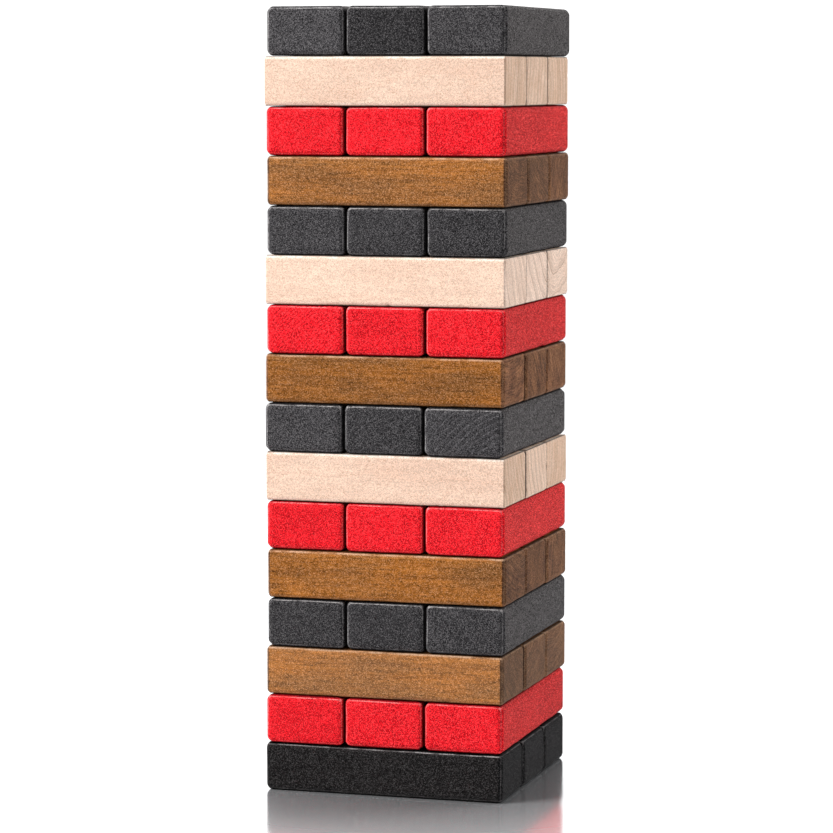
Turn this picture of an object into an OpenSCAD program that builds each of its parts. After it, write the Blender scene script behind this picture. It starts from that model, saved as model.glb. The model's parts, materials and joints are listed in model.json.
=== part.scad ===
// Giant tumbling tower: rounded wooden blocks, three to a level, each level laid across the one below.
// All sizes are in millimetres. +Z is up, and the origin is on the ground under the middle of the tower.

/* [Block] */
// Length of a block, end to end
block_l = 191; // [150:0.5:260]
// Width of a block, across its broad face
block_w = 63; // [45:0.5:80]
// Thickness of a block, which is the height of one level
block_t = 37.8; // [25:0.1:60]

/* [Edges] */
// Radius along the four long edges of a painted or stained block
finished_long_r = 4; // [1:0.1:8]
// Radius round each end of a painted or stained block
finished_end_r = 2.5; // [0.5:0.1:6]
// Radius along the four long edges of a bare block
bare_long_r = 2.5; // [1:0.1:8]
// Radius round each end of a bare block
bare_end_r = 1.5; // [0.5:0.1:6]

/* [Stack] */
// Space between neighbouring blocks in a level
side_gap = 0.7; // [0.4:0.1:3]
// Space between one level and the next
level_gap = 0.1; // [0.05:0.05:0.5]
// How unevenly the tower is stacked, where 0 is perfectly square
unevenness = 1; // [0:0.1:1.5]

/* [Hidden] */
NATURAL = "BurlyWood";
BROWN = "SaddleBrown";
RED = "Crimson";
BLACK = "DimGray";

// One row for each level, from the ground up: the finish of its blocks, how far the level sits
// towards +X and +Y, the angle it is turned through, and how far each block is pushed along its length.
LEVELS = [
  [BLACK,   -1.5,  0.4,  0.0, [-0.2, 0.3,  0.4]],
  [RED,     -0.9, -0.2,  0.1, [-0.3, 0.0,  0.4]],
  [BROWN,   -0.4,  0.5, -0.1, [-0.4, 0.4,  0.3]],
  [BLACK,    0.2,  0.0,  0.1, [ 0.0, 0.3, -0.2]],
  [BROWN,    0.3, -0.4,  0.2, [ 0.0, -0.1, 0.5]],
  [RED,     -0.1,  0.3, -0.1, [ 0.3, 0.0, -0.3]],
  [NATURAL, -0.2,  0.6,  0.2, [-0.3, 0.5,  0.4]],
  [BLACK,   -0.7, -0.3, -0.2, [-0.2, 0.4,  0.0]],
  [BROWN,   -0.4,  0.2,  0.0, [-0.3, 0.4,  0.2]],
  [RED,      0.3, -0.5,  0.1, [ 0.4, -0.2, 0.0]],
  [NATURAL,  0.0,  0.1, -0.1, [ 0.1, 0.0,  0.4]],
  [BLACK,    0.6,  0.4,  0.2, [ 0.0, -0.4, 0.3]],
  [BROWN,    1.1, -0.2,  0.0, [ 0.1, 0.2,  0.3]],
  [RED,      0.7,  0.5, -0.2, [-0.3, 0.3,  0.0]],
  [NATURAL, -0.2, -0.3,  0.1, [ 0.0, 0.1,  0.5]],
  [BLACK,    1.5,  0.2, -0.3, [ 0.2, -0.3, 0.5]],
];

// Blocks in odd levels run along X and are counted from the front. The others run along Y, from the left.
FRONT_TO_BACK = ["front", "middle", "back"];
LEFT_TO_RIGHT = ["left", "middle", "right"];

COLUMNS = [0, 1, 2];
block_pitch = block_w + side_gap;
level_pitch = block_t + level_gap;

function two_digits(n) = n < 10 ? str("0", n) : str(n);
function runs_along_x(level) = level % 2 == 1;
function place_name(level, column) = runs_along_x(level) ? FRONT_TO_BACK[column] : LEFT_TO_RIGHT[column];
function block_name(level, column) = str("level_", two_digits(level), "_", place_name(level, column), "_block");

// A rectangle with rounded corners, centred on the origin.
module rounded_rectangle(l, w, r) {
  square([l - 2 * r, w], center = true);
  square([l, w - 2 * r], center = true);
  for (x = [-1, 1], y = [-1, 1])
    translate([x * (l / 2 - r), y * (w / 2 - r)]) circle(r, $fn = 48);
}

// One block, lying along X, centred on the origin. Its profile seen along each axis is a rounded rectangle.
module block(long_r, end_r) {
  intersection() {
    rotate([90, 0, 90])
      linear_extrude(block_l, center = true) rounded_rectangle(block_w, block_t, long_r);
    rotate([90, 0, 0])
      linear_extrude(block_w, center = true) rounded_rectangle(block_l, block_t, end_r);
    linear_extrude(block_t, center = true) rounded_rectangle(block_l, block_w, end_r);
  }
}

// A block with the edges and colour of its finish.
module finished_block(finish) {
  bare = finish == NATURAL;
  color(finish) block(bare ? bare_long_r : finished_long_r, bare ? bare_end_r : finished_end_r);
}

// The block in one column of one level, in its place in the tower.
module placed_block(level, column) {
  row = LEVELS[level - 1];
  shift = unevenness * [row[1], row[2]];
  turn = unevenness * row[3];
  push = unevenness * row[4][column];
  across = (column - 1) * block_pitch;
  heading = runs_along_x(level) ? 0 : 90;
  translate([shift.x, shift.y, (level - 1) * level_pitch + block_t / 2])
    rotate(turn + heading)
      translate([push, runs_along_x(level) ? across : -across])
        finished_block(row[0]);
}

for (level = [1:len(LEVELS)])
  for (column = COLUMNS)
    placed_block(level, column);
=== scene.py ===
"""A giant tumbling tower. Every CAD block is replaced by a finished one: sanded and grained, with rubbing and
painted highlight on its edges and painted shade in its seams.
"""
import json
import math

import bpy
import numpy as np
from mathutils import Matrix, Vector


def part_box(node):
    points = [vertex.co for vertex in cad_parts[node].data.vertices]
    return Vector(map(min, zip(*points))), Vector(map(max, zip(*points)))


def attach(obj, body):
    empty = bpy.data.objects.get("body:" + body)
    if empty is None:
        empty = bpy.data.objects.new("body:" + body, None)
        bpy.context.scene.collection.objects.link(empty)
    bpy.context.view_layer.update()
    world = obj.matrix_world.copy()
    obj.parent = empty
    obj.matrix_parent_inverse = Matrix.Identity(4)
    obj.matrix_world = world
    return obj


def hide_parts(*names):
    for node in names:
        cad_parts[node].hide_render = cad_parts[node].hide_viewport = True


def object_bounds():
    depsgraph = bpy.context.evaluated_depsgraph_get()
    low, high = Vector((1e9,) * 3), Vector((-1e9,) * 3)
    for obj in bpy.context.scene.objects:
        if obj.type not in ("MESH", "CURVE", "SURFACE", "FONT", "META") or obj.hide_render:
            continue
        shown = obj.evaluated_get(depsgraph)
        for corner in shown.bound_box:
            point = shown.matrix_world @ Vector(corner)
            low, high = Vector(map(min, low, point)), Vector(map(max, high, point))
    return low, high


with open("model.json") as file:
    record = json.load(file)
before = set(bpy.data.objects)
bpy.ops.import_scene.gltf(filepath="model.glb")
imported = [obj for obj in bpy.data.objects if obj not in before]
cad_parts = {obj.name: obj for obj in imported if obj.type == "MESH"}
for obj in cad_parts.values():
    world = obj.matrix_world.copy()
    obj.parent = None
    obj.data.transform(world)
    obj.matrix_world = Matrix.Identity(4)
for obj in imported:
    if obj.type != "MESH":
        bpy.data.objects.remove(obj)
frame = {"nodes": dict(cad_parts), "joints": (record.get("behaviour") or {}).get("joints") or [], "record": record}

cad_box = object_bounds()
MM = 0.001

# ---------------------------------------------------------------- the tower, as the frame has it

levels = {node: int(node.split("_")[1]) for node in frame["nodes"]}
slots = {part["node"]: part["material_slot"] for part in frame["record"]["subparts"]}
slide_axes = {joint["child"]: Vector(joint["axis"]) for joint in frame["joints"]}
ROOT_TWIN = "level_01_front_block"    # lies beside the one block that has no joint of its own
TOP_LEVEL = max(levels.values())


def placing(node):
    """A block's place as a matrix, with X along its length, and its length, width and thickness."""
    low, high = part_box(node)
    box = high - low
    along = slide_axes.get(node, slide_axes[ROOT_TWIN])
    c, s = abs(along.x), abs(along.y)
    length = (box.x * c - box.y * s) / (c * c - s * s)
    width = (box.y * c - box.x * s) / (c * c - s * s)
    up = Vector((0, 0, 1))
    turn = Matrix((along, up.cross(along), up)).transposed().to_4x4()
    return Matrix.Translation((low + high) / 2) @ turn, (length, width, box.z)


# ---------------------------------------------------------------- the blocks' shape

# How far the rounding of an edge reaches along, across and down the block.
ROUNDING = {
    "natural_wood": (1.2 * MM, 2.2 * MM, 3.0 * MM),
    "brown_stained_wood": (3.0 * MM, 4.0 * MM, 4.0 * MM),
    "red_painted_wood": (3.6 * MM, 5.0 * MM, 5.2 * MM),
    "black_painted_wood": (3.6 * MM, 5.0 * MM, 5.2 * MM),
}
FLAT_STEPS = (84, 26, 15)             # grid lines over the flat of each face, along, across and down
EDGE_STEPS = 5                        # grid steps from the flat to the crest of an edge
HOLD = 0.6 * MM                       # a close grid line, so that the flats shade flat
CLEARANCE = 0.05 * MM                 # what sanding took off each face
SANDING = 0.10 * MM                   # how uneven it left the flats
SANDING_WAVE = 70 * MM                # how far apart the bumps are that it left there
SOFTENING = 0.45 * MM                 # how much more it took off the crests, at most
SOFTENING_WAVE = 30 * MM              # how far apart the places are that it softened most
WAVES = 9                             # waves in a ripple
OUTLINE = 1.5 * HOLD                  # how far onto the flats a block's outline reaches
DENTS = 9                             # dents in the edges of each block
DENTED = 0.9                          # how near to a crest a dent has its middle
DENT_REACH = (1.5 * MM, 4.0 * MM)     # the least and the most that a dent reaches
DENT_DEPTH = (0.15 * MM, 0.6 * MM)
HIGHLIGHT_WAY = (-0.40, -0.55, 0.73)     # the edges that face this way, towards the key light, get the most painted highlight and rubbing
RUBBING_AND_HIGHLIGHT_ALL_ROUND = 0.18               # and this much is added to what the way they face gives
LEAST_RUBBING_AND_HIGHLIGHT = 0.12
LONG_EDGES_RUBBING_AND_HIGHLIGHT = {0: 0.3, 1: 1.0}  # how much of that the long edges of even and odd levels get
ROUND_AN_END = (0.1, 0.4)             # how far along the block a long edge faces, and one round an end
GRIT_ALONG = {0: 0.6, 1: 1.0}         # how closely the grit lies along the blocks of even and odd levels


def grid_lines(half, rounding, count):
    """Where the grid lines cross one axis of a block: close in the rounded edges, even between them."""
    flat = half - rounding
    edge = rounding * np.tan(np.linspace(0, math.pi / 4, EDGE_STEPS + 1))
    middle = np.linspace(HOLD - flat, flat - HOLD, count)
    return np.concatenate([-flat - edge[::-1], middle, flat + edge])


def closed_grid(counts):
    """The corners, as grid steps, and the quads of a box that is a grid on all six sides."""
    corners = {}
    quads = []
    for axis in range(3):
        u, v = (axis + 1) % 3, (axis + 2) % 3
        for side in (0, counts[axis] - 1):
            for i in range(counts[u] - 1):
                for j in range(counts[v] - 1):
                    ring = [(i, j), (i + 1, j), (i + 1, j + 1), (i, j + 1)]
                    quad = []
                    for a, b in ring if side else reversed(ring):
                        step = {axis: side, u: a, v: b}
                        quad.append(corners.setdefault((step[0], step[1], step[2]), len(corners)))
                    quads.append(quad)
    return np.array(list(corners)), quads


GRID, QUADS = closed_grid([count + 2 * EDGE_STEPS + 2 for count in FLAT_STEPS])


def ripple(points, wavelength, rng):
    """A smooth random field over the points, mostly from -1 to 1, with bumps a wavelength apart."""
    total = np.zeros(len(points))
    for _ in range(WAVES):
        direction = rng.normal(size=3)
        direction *= 2 * math.pi / wavelength / np.linalg.norm(direction)
        total += np.sin(points @ direction + rng.uniform(0, 2 * math.pi))
    return total / math.sqrt(WAVES)


def nearness_to_crest(share):
    """1 where two faces share the lean equally, on the crest of their edge, and 0 on the flats."""
    return np.clip((1 - share) / (1 - math.sqrt(0.5)), 0, 1)


def block_surface(size, rounding, rng):
    """A sanded block's points and normals, and for each point how near it is, from 0 to 1, to the crest of
    a level edge, of an upright edge and of an edge round an end, which way it leans, and whether it is near
    an outline."""
    half = np.array(size) / 2 - CLEARANCE
    rounding = np.array(rounding)
    lines = [grid_lines(half[a], rounding[a], FLAT_STEPS[a]) for a in range(3)]
    square = np.stack([lines[a][GRID[:, a]] for a in range(3)], axis=1)
    inner = np.clip(square, rounding - half, half - rounding)
    lean = (square - inner) / rounding
    lean /= np.linalg.norm(lean, axis=1, keepdims=True)
    points = inner + rounding * lean
    normals = lean / rounding
    normals /= np.linalg.norm(normals, axis=1, keepdims=True)
    flat_part = np.hypot(lean[:, 0], lean[:, 1])
    level_crest = nearness_to_crest(np.maximum(flat_part, np.abs(lean[:, 2])))
    upright_crest = nearness_to_crest(np.abs(lean[:, :2]).max(axis=1) / np.maximum(flat_part, 0.01))
    upright_crest *= flat_part
    end_crest = nearness_to_crest(np.maximum(np.abs(lean[:, 0]), np.hypot(lean[:, 1], lean[:, 2])))
    crest = np.maximum(level_crest, upright_crest)
    outline = (np.abs(square) > half - rounding - OUTLINE)[:, :2].any(axis=1)
    taken = SANDING * (0.5 + 0.5 * ripple(points, SANDING_WAVE, rng)) * (1 - crest)
    taken += SOFTENING * crest * np.clip(0.5 + 0.5 * ripple(points, SOFTENING_WAVE, rng), 0, 1)
    edge_points = np.flatnonzero(crest > DENTED)
    for _ in range(DENTS):
        centre = points[rng.choice(edge_points)]
        reach = rng.uniform(*DENT_REACH)
        nearness = np.clip(1 - np.sum((points - centre) ** 2, axis=1) / reach ** 2, 0, 1)
        taken += rng.uniform(*DENT_DEPTH) * nearness ** 2
    points -= normals * np.clip(taken, 0, None)[:, None]
    return points, normals, (level_crest, upright_crest, end_crest), lean, outline


def seam_share(node, place, width, lean, outline):
    """How deep each point is, from 0 to 1, in a seam between the block and the ones round it."""
    across = (place.to_3x3().transposed() @ place.translation).y
    beside = np.sign(lean[:, 1]) * across < width / 2
    above = (lean[:, 2] < 0) | (levels[node] < TOP_LEVEL)
    return np.maximum(np.abs(lean[:, 1]) * beside, np.abs(lean[:, 2]) * above) * outline


def rubbed_share(node, place, normals):
    """How much rubbing and painted highlight each point of a block in its place gets, from 0 to 1: the highlight
    is strongest on the edges that face the key light.
    """
    turn = np.array(place.to_3x3())
    share = RUBBING_AND_HIGHLIGHT_ALL_ROUND + normals @ turn.T @ np.array(HIGHLIGHT_WAY)
    long_edges = LONG_EDGES_RUBBING_AND_HIGHLIGHT[levels[node] % 2]
    return np.clip(share, LEAST_RUBBING_AND_HIGHLIGHT, 1) * np.interp(np.abs(normals[:, 0]), ROUND_AN_END, (long_edges, 1))


# ---------------------------------------------------------------- how each block grew

# What the ends that face the front and the right show: the way to the heart of the tree, as degrees from
# the right and millimetres, the width of a year's ring in millimetres, and an accent. On a painted block
# the accent is how far the rings stand out, and on the others how much lighter the end is than most.
FIGURES = {
    "level_03_front_block": (50, 140, 6.0, -0.38),
    "level_03_middle_block": (120, 150, 7.0, -0.15),
    "level_03_back_block": (100, 90, 6.0, 0.05),
    "level_05_front_block": (75, 160, 8.0, 0.00),
    "level_05_middle_block": (150, 60, 7.0, 0.10),
    "level_05_back_block": (-20, 150, 9.0, 0.30),
    "level_07_front_block": (25, 120, 7.0, -0.14),
    "level_07_middle_block": (20, 150, 9.0, 0.05),
    "level_07_back_block": (170, 130, 8.0, 0.00),
    "level_08_middle_block": (-50, 120, 4.0, 0.50),
    "level_08_right_block": (-48, 75, 4.5, 1.00),
    "level_09_front_block": (95, 170, 6.0, 0.80),
    "level_09_middle_block": (40, 120, 6.0, 0.45),
    "level_09_back_block": (40, 100, 6.0, 0.75),
    "level_10_left_block": (-45, 200, 2.6, 0.60),
    "level_11_front_block": (29, 160, 12.0, 0.12),
    "level_11_middle_block": (47, 120, 13.0, 0.14),
    "level_11_back_block": (90, 38, 17.0, 0.12),
    "level_13_front_block": (80, 120, 6.0, 0.00),
    "level_13_middle_block": (60, 150, 6.0, -0.05),
    "level_13_back_block": (-30, 90, 6.0, 0.30),
    "level_15_front_block": (175, 130, 9.0, -0.02),
    "level_15_middle_block": (170, 150, 9.0, 0.02),
    "level_15_back_block": (184, 90, 8.0, -0.04),
}
# The least and the most of each of these four numbers where chance gives them.
CHANCE_FIGURE = ((0, 360), (50, 180), (3, 6), (0, 0.15))
# How much lighter or darker than its finish a level is, and some blocks that stand out in theirs.
LEVEL_TONES = {1: -0.95, 2: 0.0, 3: 0.9, 5: 0.1, 7: -0.2, 9: -0.5, 11: 0.5, 13: 0.3, 15: -1.0}
BLOCK_TONES = {
    "level_16_left_block": 0.4, "level_16_middle_block": -0.35, "level_16_right_block": 0.10,
    "level_12_left_block": 0.3, "level_12_middle_block": 0.1, "level_12_right_block": -0.05,
    "level_08_left_block": 0.25, "level_08_middle_block": -0.05, "level_08_right_block": 0.15,
}
CHANCE_TONE = 0.1                     # how far chance takes the other blocks from the tone of their level
GROWN_APART = 50.0                    # metres up or down the trunk, so that no two blocks are grained alike


def growth(node, points, rng):
    """The points in the tree's own frame, with X up the trunk, and the block's traits as a vector."""
    chance = [rng.uniform(least, most) for least, most in CHANCE_FIGURE]
    bearing, distance, ring, accent = FIGURES.get(node, chance)
    level_tone = LEVEL_TONES.get(levels[node], 0) + rng.uniform(-CHANCE_TONE, CHANCE_TONE)
    tone = BLOCK_TONES.get(node, level_tone)
    angle = math.radians(bearing)
    across = 1 if levels[node] % 2 else -1
    way = np.array([0, across * math.cos(angle), math.sin(angle)])
    heart = way * distance * MM + (rng.uniform(-GROWN_APART, GROWN_APART), 0, 0)
    return points - heart, (tone, ring * MM, accent)


# ---------------------------------------------------------------- making the blocks

def add_attribute(mesh, name, vectors):
    """Gives each point of a mesh a vector that the materials can read by name."""
    layer = mesh.attributes.new(name, "FLOAT_VECTOR", "POINT")
    layer.data.foreach_set("vector", np.ascontiguousarray(vectors, dtype=np.float32).ravel())


def make_block(node, seed, material):
    """Puts a finished block in the place of a CAD block, and lets it ride on the same body."""
    rng = np.random.default_rng(seed)
    place, size = placing(node)
    surface = block_surface(size, ROUNDING[slots[node]], rng)
    points, normals, crests, lean, outline = surface
    rubbed = rubbed_share(node, place, normals)
    seam = seam_share(node, place, size[1], lean, outline)
    trunk, traits = growth(node, points, rng)
    mesh = bpy.data.meshes.new(node + "_wood")
    mesh.from_pydata(points, [], QUADS)
    mesh.shade_smooth()
    add_attribute(mesh, "trunk", trunk)
    add_attribute(mesh, "traits", np.tile(traits, (len(points), 1)))
    add_attribute(mesh, "crests", np.stack(crests, axis=1))
    add_attribute(mesh, "facing", np.abs(normals))
    grit = np.full(len(points), GRIT_ALONG[levels[node] % 2])
    # the share of rubbing and painted highlight, how deep each point is in a seam (where painted shade goes), and
    # how the grit lies
    add_attribute(mesh, "rims_seams_and_grit", np.stack([rubbed, seam, grit], axis=1))
    mesh.materials.append(material)
    block = bpy.data.objects.new(mesh.name, mesh)
    bpy.context.scene.collection.objects.link(block)
    block.matrix_world = place
    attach(block, node)
    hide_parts(node)


# ---------------------------------------------------------------- materials

class Graph:
    """The nodes of one material. Each method adds a node and returns its output."""

    def __init__(self, name):
        self.material = bpy.data.materials.new(name)
        self.material.use_nodes = True
        self.tree = self.material.node_tree
        self.shader = self.tree.nodes["Principled BSDF"]

    def add(self, kind, inputs, **settings):
        node = self.tree.nodes.new(kind)
        for name, value in settings.items():
            setattr(node, name, value)
        for key, value in inputs.items():
            self.set(node.inputs[key], value)
        return node

    def set(self, socket, value):
        if isinstance(value, bpy.types.NodeSocket):
            self.tree.links.new(value, socket)
        else:
            socket.default_value = value

    def attribute(self, name):
        """The three numbers of a vector attribute, as a vector."""
        return self.add("ShaderNodeAttribute", {}, attribute_name=name).outputs["Vector"]

    def split(self, vector):
        return self.add("ShaderNodeSeparateXYZ", {0: vector}).outputs

    def join(self, x, y, z):
        return self.add("ShaderNodeCombineXYZ", {0: x, 1: y, 2: z}).outputs[0]

    def math(self, operation, a, b=0.0):
        return self.add("ShaderNodeMath", {0: a, 1: b}, operation=operation).outputs[0]

    def vector(self, operation, a, b=(0, 0, 0), output=0):
        return self.add("ShaderNodeVectorMath", {0: a, 1: b}, operation=operation).outputs[output]

    def noise(self, vector, stretch, detail=2.0, roughness=0.5):
        """Noise from 0 to 1 whose bumps are about 1 / stretch metres long each way."""
        scaled = self.vector("MULTIPLY", vector, stretch)
        inputs = {"Vector": scaled, "Scale": 1.0, "Detail": detail, "Roughness": roughness}
        return self.add("ShaderNodeTexNoise", inputs).outputs["Fac"]

    def cells(self, vector, stretch):
        """A random level from 0 to 1 for each cell, with cells about 1 / stretch metres wide each way."""
        scaled = self.vector("MULTIPLY", vector, stretch)
        cells = self.add("ShaderNodeTexVoronoi", {"Vector": scaled, "Scale": 1.0})
        return self.split(cells.outputs["Color"])[0]

    def fade(self, value, start, end, low=0.0, high=1.0):
        """low before start, high after end, and a smooth rise between."""
        inputs = {"Value": value, "From Min": start, "From Max": end, "To Min": low, "To Max": high}
        return self.add("ShaderNodeMapRange", inputs, interpolation_type="SMOOTHSTEP").outputs[0]

    def mix(self, factor, a, b):
        node = self.add("ShaderNodeMix", {}, data_type="RGBA")
        for socket, value in ((node.inputs[0], factor), (node.inputs[6], a), (node.inputs[7], b)):
            self.set(socket, value)
        return node.outputs[2]

    def shade(self, colour, amount):
        """A colour made lighter or darker: 1 leaves it as it is."""
        return self.vector("MULTIPLY", colour, self.join(amount, amount, amount))

    def finish(self, colour, roughness, height, depth):
        """Links the shader up. height is from about 0 to 1, and depth is what 1 stands for, in metres."""
        self.set(self.shader.inputs["Base Color"], colour)
        self.set(self.shader.inputs["Roughness"], roughness)
        bump = self.add("ShaderNodeBump", {"Height": height, "Strength": 1.0, "Distance": depth})
        self.set(self.shader.inputs["Normal"], bump.outputs[0])
        return self.material


# How many bumps of each pattern there are in a metre, along the block, across it and up it.
SWAY = (9, 22, 22)                    # bends in the rings
CLOUDS = (14, 60, 60)                 # broad changes of colour
PATCHES = (70, 90, 90)                # where the pale edge rims, rubbing and painted highlight, are strong and where they are faint
FIBRES = (60, 700, 700)
MOTTLE = (260, 420, 420)
PEBBLES = (850, 950, 950)
GRIT = (1900, 2000, 2000)
LAYERS = (25, 900, 60)                # along the block, out from the heart, and across
YEARS = (7.3, 1, 4)                   # the first from each ring to the next, the last along the block

RING_SWAY = 1.6                       # how many rings wide the bends in the rings are
RING_LINE = 0.3 * MM                  # from where a year ends back to where its dark line is darkest
RING_LINE_START = 1.5 * MM            # from where a year ends back to where its dark line begins
LATE_WOOD = 0.3                       # how dark a year's last growth is, where 1 is as dark as the line


class Wood(Graph):
    """A graph that starts with what all the wood shares: rings, fibres, grit and clouds."""

    def __init__(self, name):
        super().__init__(name)
        trunk = self.attribute("trunk")
        self.tone, ring, self.accent = self.split(self.attribute("traits"))
        self.level_crest, upright_crest, self.end_crest = self.split(self.attribute("crests"))
        facing_along = self.split(self.attribute("facing"))[0]
        self.rubbed, self.seam, grit_along = self.split(self.attribute("rims_seams_and_grit"))
        self.end = self.fade(facing_along, 0.05, 0.3)
        self.add_rings(trunk, ring)
        self.fibres = self.fade(self.noise(trunk, FIBRES, detail=2.0), 0.3, 0.7)
        self.grains = self.cells(self.vector("MULTIPLY", trunk, self.join(grit_along, 1.0, 1.0)), GRIT)
        self.pebbles = self.fade(self.noise(trunk, PEBBLES, detail=1.0), 0.34, 0.66)
        self.mottle = self.fade(self.noise(trunk, MOTTLE, detail=1.0), 0.35, 0.65)
        self.clouds = self.fade(self.noise(trunk, CLOUDS, detail=3.0), 0.32, 0.68)
        self.patches = self.fade(self.noise(trunk, PATCHES, detail=1.0), 0.35, 0.6)
        corner = self.math("MULTIPLY", self.level_crest, upright_crest)
        self.corner = self.math("MULTIPLY", self.fade(corner, 0.1, 0.5), self.patches)

    def add_rings(self, trunk, ring):
        """The dark lines between one year's growth and the next, and the fine layers within a year."""
        sway = self.noise(trunk, SWAY, detail=3.0)
        x, y, z = self.split(trunk)
        radius = self.vector("LENGTH", self.join(0.0, y, z), output="Value")
        turns = self.math("ADD", self.math("DIVIDE", radius, ring), self.math("MULTIPLY", sway, RING_SWAY))
        year = self.math("FRACT", turns)
        to_line = self.math("MULTIPLY", self.math("SUBTRACT", 1.0, year), ring)
        line = self.math("MULTIPLY", self.fade(to_line, RING_LINE, RING_LINE_START, 1.0, 0.0),
                         self.fade(to_line, 0.0, RING_LINE))
        late_wood = self.math("MULTIPLY", self.fade(year, 0.4, 1.0), LATE_WOOD)
        count = self.join(self.math("FLOOR", turns), 0.0, x)
        vigour = self.fade(self.noise(count, YEARS), 0.3, 0.6, 0.5, 1.0)
        self.rings = self.math("MULTIPLY", self.math("MAXIMUM", line, late_wood), vigour)
        depth = self.math("MULTIPLY", turns, ring)
        self.layers = self.fade(self.noise(self.join(x, depth, y), LAYERS, detail=2.0), 0.35, 0.65)

    def vary(self, colour, amounts):
        """The colour varied by patterns from 0 to 1, each by its own share either way."""
        total = 1.0
        for pattern, share in amounts:
            swing = self.math("MULTIPLY", self.math("SUBTRACT", pattern, 0.5), 2 * share)
            total = self.math("ADD", total, swing)
        return self.shade(colour, total)

    def lightened(self, colour, trait, share):
        """The colour made lighter by a share of a trait, or darker where the trait is below 0."""
        return self.shade(colour, self.math("ADD", 1.0, self.math("MULTIPLY", trait, share)))

    def with_rubbing_and_highlight(self, colour, crest, bare_and_highlight_colour):
        """The colour with a paler one showing on the edges and the corners: rubbing there, and painted highlight
        on the edges that face the key light.
        """
        patchy = self.math("MULTIPLY", crest, self.fade(self.patches, 0.0, 1.0, 0.3, 1.0))
        gritty = self.math("MULTIPLY", patchy, self.fade(self.grains, 0.0, 0.7, 0.25, 1.0))
        bare = self.math("MULTIPLY", self.math("MAXIMUM", gritty, self.corner), self.rubbed)
        return self.mix(bare, colour, bare_and_highlight_colour)

    def seam_shaded(self, colour, share):
        """The colour darkened by a share in the seams between the blocks: painted shade."""
        return self.shade(colour, self.fade(self.seam, 0.72, 0.95, 1.0, 1.0 - share))

    def blend(self, amounts):
        """The sum of patterns, each times its own amount."""
        total = 0.0
        for pattern, amount in amounts:
            total = self.math("ADD", total, self.math("MULTIPLY", pattern, amount))
        return total


def natural_wood():
    """Bare pale hardwood: faint figure along the sides, greyer ends with clear rings."""
    deep_side = (0.775, 0.548, 0.425, 1)
    pale_side = (0.815, 0.592, 0.463, 1)
    side_ring = (0.69, 0.43, 0.31, 1)
    deep_end = (0.66, 0.455, 0.325, 1)
    pale_end = (0.73, 0.530, 0.400, 1)
    palest_end = (0.80, 0.66, 0.58, 1)
    end_ring = (0.36, 0.23, 0.16, 1)
    speck = (0.66, 0.34, 0.20, 1)
    rubbed_edge = (0.95, 0.86, 0.76, 1)
    g = Wood("natural_wood")
    side = g.mix(g.clouds, deep_side, pale_side)
    side = g.mix(g.math("MULTIPLY", g.rings, 0.25), side, side_ring)
    end = g.mix(g.clouds, deep_end, pale_end)
    end = g.lightened(end, g.accent, 0.6)
    end = g.mix(g.math("MULTIPLY", g.accent, 4.0), end, palest_end)
    end = g.vary(end, [(g.layers, 0.10)])
    end = g.mix(g.math("MULTIPLY", g.rings, 0.9), end, end_ring)
    colour = g.mix(g.end, side, end)
    colour = g.vary(colour, [(g.fibres, 0.04), (g.grains, 0.27), (g.layers, 0.03)])
    colour = g.mix(g.fade(g.grains, 0.0, 0.3, 0.5, 0.0), colour, speck)
    colour = g.lightened(colour, g.tone, 0.05)
    # A pale band along the edges next to the neighbours, strongest on the top edges facing the key light: painted
    # highlight.
    colour = g.with_rubbing_and_highlight(colour, g.fade(g.seam, 0.05, 0.6), rubbed_edge)
    # Painted shade in the seams between the blocks.
    colour = g.seam_shaded(colour, 0.75)
    roughness = g.fade(g.fibres, 0.0, 1.0, 0.58, 0.70)
    height = g.blend([(g.fibres, 0.5), (g.pebbles, 0.5), (g.rings, 0.5)])
    g.shader.inputs["Specular IOR Level"].default_value = 0.06
    return g.finish(colour, roughness, height, 0.05 * MM)


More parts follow.
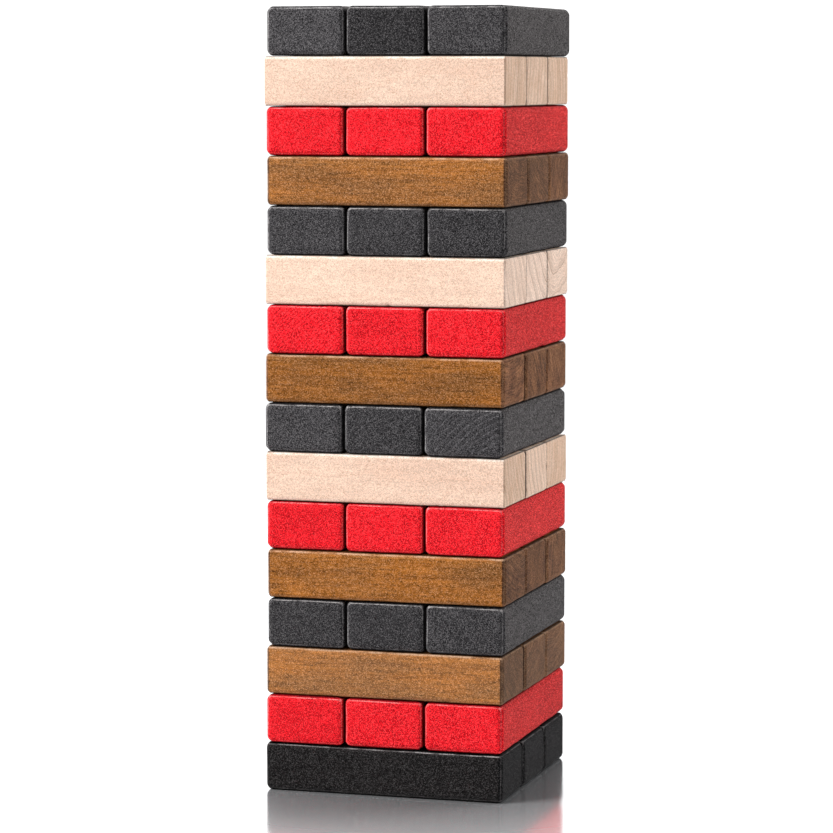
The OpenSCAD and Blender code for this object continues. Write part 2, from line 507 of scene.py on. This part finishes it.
def brown_stained_wood():
    """Brown stain, which takes unevenly: mottled sides, dark ends, and paler edges, part rubbing and part painted
    highlight.
    """
    deep_side = (0.215, 0.086, 0.024, 1)
    warm_side = (0.325, 0.114, 0.020, 1)
    side_ring = (0.150, 0.045, 0.010, 1)
    deep_end = (0.072, 0.030, 0.015, 1)
    pale_end = (0.130, 0.058, 0.027, 1)
    end_ring = (0.045, 0.018, 0.010, 1)
    glint_colour = (0.66, 0.37, 0.20, 1)
    thin_stain = (0.62, 0.42, 0.28, 1)
    rubbed_edge = (0.66, 0.42, 0.27, 1)
    g = Wood("brown_stained_wood")
    side = g.mix(g.clouds, deep_side, warm_side)
    side = g.mix(g.math("MULTIPLY", g.rings, 0.35), side, side_ring)
    end = g.mix(g.clouds, deep_end, pale_end)
    end = g.mix(g.math("MULTIPLY", g.rings, 0.5), end, end_ring)
    end = g.lightened(end, g.accent, 1.0)
    end = g.vary(end, [(g.layers, 0.20)])
    colour = g.mix(g.end, side, end)
    colour = g.vary(colour, [(g.grains, 0.54), (g.mottle, 0.12), (g.fibres, 0.14), (g.layers, 0.14)])
    # Painted glints: pale specks on the grit, more on the sides than on the ends.
    glint = g.fade(g.end, 0.0, 1.0, 0.46, 0.17)
    sparkle = g.math("MULTIPLY", g.fade(g.grains, 0.7, 1.0), glint)
    colour = g.mix(sparkle, colour, glint_colour)
    colour = g.lightened(colour, g.tone, 0.15)
    colour = g.mix(g.math("MULTIPLY", g.tone, 0.08), colour, thin_stain)
    # Paler edges: rubbing, with painted highlight on the edges that face the key light.
    crest = g.math("MAXIMUM", g.level_crest, g.math("MULTIPLY", g.end_crest, 0.8))
    colour = g.with_rubbing_and_highlight(colour, g.fade(crest, 0.15, 0.9), rubbed_edge)
    # Painted shade in the seams between the blocks.
    colour = g.seam_shaded(colour, 0.8)
    roughness = g.fade(g.pebbles, 0.0, 1.0, 0.70, 0.58)
    height = g.blend([(g.fibres, 0.3), (g.pebbles, 0.7), (g.rings, 0.3)])
    g.shader.inputs["Specular IOR Level"].default_value = 0.03
    return g.finish(colour, roughness, height, 0.08 * MM)


def painted_wood(name, end_paint, side_paint_and_sheen, bare_and_highlight_colour, speckling, tone_share):
    """Thin gritty paint over the wood's relief, greyer along the grain, in part as painted sheen; pale rims, part
    rubbing and part painted highlight.
    """
    g = Wood(name)
    relief = g.math("MULTIPLY", g.accent, g.fade(g.end, 0.0, 1.0, 0.15, 1.0))
    ridges = g.math("MULTIPLY", g.rings, relief)
    # The sides' paler, greyer paint is in part painted sheen.
    colour = g.mix(g.end, side_paint_and_sheen, end_paint)
    colour = g.vary(colour, [(g.grains, speckling), (g.clouds, 0.06)])
    colour = g.lightened(colour, ridges, 0.9)
    colour = g.lightened(colour, g.tone, tone_share)
    # Painted glints: pale specks on the grit, in the rim colour.
    glint = g.fade(g.tone, -1.0, 0.0, 0.10, 0.20)
    sparkle = g.math("MULTIPLY", g.fade(g.grains, 0.7, 1.0), glint)
    colour = g.mix(sparkle, colour, bare_and_highlight_colour)
    # Pale rims on the crests: rubbing, with painted highlight on the edges that face the key light.
    crest = g.math("MAXIMUM", g.level_crest, g.end_crest)
    colour = g.with_rubbing_and_highlight(colour, g.fade(crest, 0.65, 0.95), bare_and_highlight_colour)
    # Painted shade in the seams between the blocks.
    colour = g.seam_shaded(colour, 0.8)
    roughness = g.fade(g.pebbles, 0.0, 1.0, 0.72, 0.55)
    height = g.blend([(g.fibres, 0.15), (g.pebbles, 0.7), (ridges, 0.8)])
    g.shader.inputs["Specular IOR Level"].default_value = 0.015
    return g.finish(colour, roughness, height, 0.10 * MM)


materials = {
    "natural_wood": natural_wood(),
    "brown_stained_wood": brown_stained_wood(),
    "red_painted_wood": painted_wood(
        "red_painted_wood", end_paint=(0.73, 0.012, 0.020, 1), side_paint_and_sheen=(0.56, 0.030, 0.030, 1),
        bare_and_highlight_colour=(0.85, 0.26, 0.26, 1), speckling=0.74, tone_share=0.3),
    "black_painted_wood": painted_wood(
        "black_painted_wood", end_paint=(0.039, 0.037, 0.039, 1), side_paint_and_sheen=(0.060, 0.055, 0.055, 1),
        bare_and_highlight_colour=(0.42, 0.40, 0.40, 1), speckling=1.0, tone_share=0.8),
}
for seed, node in enumerate(sorted(levels), start=1):
    make_block(node, seed, materials[slots[node]])


# ---------------------------------------------------------------- floor, light and camera

tower_low, tower_high = cad_box
tower_height = tower_high.z - tower_low.z
FLOOR_REACH = 60.0
FLOOR_COLOUR = (0.92, 0.93, 0.95, 1)
FLOOR_ROUGHNESS = 0.12
MIRRORING = (0.82, 0.55)              # how much of a mirror the floor is near the tower and far from it
LIGHT_DISTANCE = 2.6


def make_floor():
    """A pale polished floor, which mirrors the foot of the tower most clearly close to it."""
    mesh = bpy.data.meshes.new("floor")
    corners = [(-FLOOR_REACH, -FLOOR_REACH, 0), (FLOOR_REACH, -FLOOR_REACH, 0),
               (FLOOR_REACH, FLOOR_REACH, 0), (-FLOOR_REACH, FLOOR_REACH, 0)]
    mesh.from_pydata(corners, [], [(0, 1, 2, 3)])
    g = Graph("pale_floor")
    place = g.add("ShaderNodeTexCoord", {}).outputs["Object"]
    distance = g.vector("LENGTH", place, output="Value")
    near, far = tower_high.x, 3 * tower_high.x
    g.set(g.shader.inputs["Metallic"], g.fade(distance, near, far, *MIRRORING))
    g.shader.inputs["Base Color"].default_value = FLOOR_COLOUR
    g.shader.inputs["Roughness"].default_value = FLOOR_ROUGHNESS
    mesh.materials.append(g.material)
    floor = bpy.data.objects.new("floor", mesh)
    bpy.context.scene.collection.objects.link(floor)


def outward(azimuth, elevation):
    """The way from the tower to something at an azimuth, 0 in front and 90 on the right, and a height."""
    a, e = math.radians(azimuth), math.radians(elevation)
    return Vector((math.sin(a) * math.cos(e), -math.cos(a) * math.cos(e), math.sin(e)))


def make_light(name, azimuth, elevation, width, power):
    """A square soft box that faces the middle of the tower."""
    lamp = bpy.data.lights.new(name, "AREA")
    lamp.size = width
    lamp.energy = power
    light = bpy.data.objects.new(name, lamp)
    way = outward(azimuth, elevation)
    light.location = Vector((0, 0, tower_height / 2)) + way * LIGHT_DISTANCE
    light.rotation_mode = "QUATERNION"
    light.rotation_quaternion = way.to_track_quat("Z", "Y")
    bpy.context.scene.collection.objects.link(light)


def make_world(seen, cast):
    """White surroundings, as bright as seen to the eye and in mirrors, and lighting things only as cast."""
    world = bpy.data.worlds.new("studio")
    bpy.context.scene.world = world
    world.use_nodes = True
    nodes, links = world.node_tree.nodes, world.node_tree.links
    background = nodes["Background"]
    background.inputs["Color"].default_value = (1, 1, 1, 1)
    path = nodes.new("ShaderNodeLightPath")
    strength = nodes.new("ShaderNodeMapRange")
    strength.inputs["To Min"].default_value = seen
    strength.inputs["To Max"].default_value = cast
    links.new(path.outputs["Diffuse Depth"], strength.inputs["Value"])
    links.new(strength.outputs[0], background.inputs["Strength"])


CAMERA_AZIMUTH = 16.7
CAMERA_ELEVATION = 5.7
CAMERA_DISTANCE = 2.69
CAMERA_LENS = 147.3
AIM_ACROSS = -2.5 * MM
AIM_HEIGHT = 0.4715                   # as a share of the tower's height


def make_camera():
    """A camera a little to the right of the tower's front, looking slightly down on the tower."""
    back = outward(CAMERA_AZIMUTH, CAMERA_ELEVATION)
    across = outward(CAMERA_AZIMUTH + 90, 0)
    aim = across * AIM_ACROSS + Vector((0, 0, tower_height * AIM_HEIGHT))
    camera = bpy.data.objects.new("camera", bpy.data.cameras.new("camera"))
    camera.data.lens = CAMERA_LENS
    camera.location = aim + back * CAMERA_DISTANCE
    camera.rotation_mode = "QUATERNION"
    camera.rotation_quaternion = back.to_track_quat("Z", "Y")
    bpy.context.scene.collection.objects.link(camera)
    bpy.context.scene.camera = camera


make_floor()
make_world(seen=1.2, cast=0.32)
make_light("key", azimuth=-50, elevation=46, width=1.0, power=91)
make_light("side", azimuth=125, elevation=30, width=1.2, power=37)
make_light("edge", azimuth=-104, elevation=8, width=0.8, power=5)
make_light("back", azimuth=200, elevation=35, width=1.2, power=30)
make_camera()
bpy.context.scene.view_settings.view_transform = "Standard"
